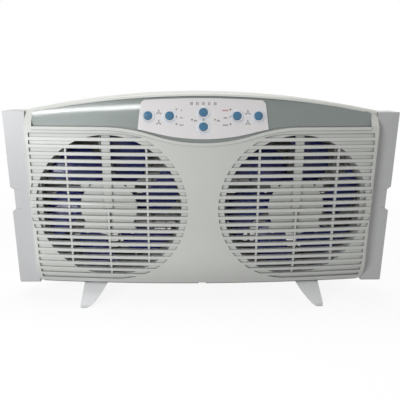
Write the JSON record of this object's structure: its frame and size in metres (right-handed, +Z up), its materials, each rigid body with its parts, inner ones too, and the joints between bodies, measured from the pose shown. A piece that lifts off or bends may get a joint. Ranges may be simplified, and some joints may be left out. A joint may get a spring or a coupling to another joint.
{
  "type": "window fan",
  "caption": "Window fan with bowed slatted casing, blade fans behind round grilles, panel of push buttons, sliding side extenders and saddle feet.",
  "frame": {"origin": "middle of the footprint, on the surface that the feet stand on", "axes": "+X along the width, to the right seen from the room; -Y towards the room, the grille side; +Z up"},
  "size_m": [0.604, 0.121, 0.337],
  "materials": {
    "casing_white": "fine moulded satin, light warm grey white",
    "silver_band": "satin silver paint on plastic",
    "panel_white": "off-white printed overlay, soft gloss",
    "button_blue": "blue moulded caps",
    "fan_blue": "translucent blue moulding",
    "motor_dark": "black painted can",
    "shaft_steel": "ground shaft",
    "screw_steel": "plated screws",
    "bush_bronze": "sintered bronze",
    "board_green": "solder mask",
    "switch_black": "moulded switch bodies",
    "light_lens": "clear tinted light pipes",
    "capacitor_yellow": "potted box",
    "lead_grey": "sleeved wires",
    "screen_charcoal": "coated insect mesh",
    "gland_rubber": "moulded grommet"
  },
  "bodies": {
    "casing": {"front_housing": "casing_white", "rear_housing": "casing_white", "trim_band": "silver_band", "control_panel": "panel_white", "control_board": "board_green", "board_screws": "screw_steel", "tact_switches": "switch_black", "indicator_lights": "light_lens", "run_capacitors": "capacitor_yellow", "motor_left": "motor_dark", "motor_right": "motor_dark", "motor_bushes": "bush_bronze", "motor_screws": "screw_steel", "motor_leads": "lead_grey", "foot_left": "casing_white", "foot_right": "casing_white", "cord_gland": "gland_rubber", "housing_screws": "screw_steel"},
    "fan_left": {"motor_shaft_left": "shaft_steel", "blade_left": "fan_blue", "blade_nut_left": "fan_blue"},
    "fan_right": {"motor_shaft_right": "shaft_steel", "blade_right": "fan_blue", "blade_nut_right": "fan_blue"},
    "extender_left": {"extender_frame_left": "casing_white", "extender_screen_left": "screen_charcoal", "extender_end_left": "casing_white", "extender_screws_left": "screw_steel"},
    "extender_right": {"extender_frame_right": "casing_white", "extender_screen_right": "screen_charcoal", "extender_end_right": "casing_white", "extender_screws_right": "screw_steel"},
    "key_power": {"button_power": "button_blue"},
    "key_speed": {"button_speed": "button_blue"},
    "key_temp_up": {"button_temp_up": "button_blue"},
    "key_temp_down": {"button_temp_down": "button_blue"},
    "key_airflow": {"button_airflow": "button_blue"},
    "key_select": {"button_select": "button_blue"}
  },
  "joints": [
    {"name": "fan_left_spin", "type": "hinge", "parent": "casing", "child": "fan_left", "pos_m": [-0.146, 0, 0.162], "axis": [0, 1, 0], "continuous": true},
    {"name": "fan_right_spin", "type": "hinge", "parent": "casing", "child": "fan_right", "pos_m": [0.146, 0, 0.162], "axis": [0, 1, 0], "continuous": true},
    {"name": "extender_left_slide", "type": "slide", "parent": "casing", "child": "extender_left", "axis": [-1, 0, 0], "range_m": [0, 0.165]},
    {"name": "extender_right_slide", "type": "slide", "parent": "casing", "child": "extender_right", "axis": [1, 0, 0], "range_m": [0, 0.165]},
    {"name": "key_power_press", "type": "slide", "parent": "casing", "child": "key_power", "axis": [0, 0.9659, -0.2588], "range_m": [0, 0.0008], "stiffness_N_per_m": 2000, "springref_m": -0.0002},
    {"name": "key_speed_press", "type": "slide", "parent": "casing", "child": "key_speed", "axis": [0, 0.9659, -0.2588], "range_m": [0, 0.0008], "stiffness_N_per_m": 2000, "springref_m": -0.0002},
    {"name": "key_temp_up_press", "type": "slide", "parent": "casing", "child": "key_temp_up", "axis": [0, 0.9659, -0.2588], "range_m": [0, 0.0008], "stiffness_N_per_m": 2000, "springref_m": -0.0002},
    {"name": "key_temp_down_press", "type": "slide", "parent": "casing", "child": "key_temp_down", "axis": [0, 0.9659, -0.2588], "range_m": [0, 0.0008], "stiffness_N_per_m": 2000, "springref_m": -0.0002},
    {"name": "key_airflow_press", "type": "slide", "parent": "casing", "child": "key_airflow", "axis": [0, 0.9659, -0.2588], "range_m": [0, 0.0008], "stiffness_N_per_m": 2000, "springref_m": -0.0002},
    {"name": "key_select_press", "type": "slide", "parent": "casing", "child": "key_select", "axis": [0, 0.9659, -0.2588], "range_m": [0, 0.0008], "stiffness_N_per_m": 2000, "springref_m": -0.0002}
  ]
}
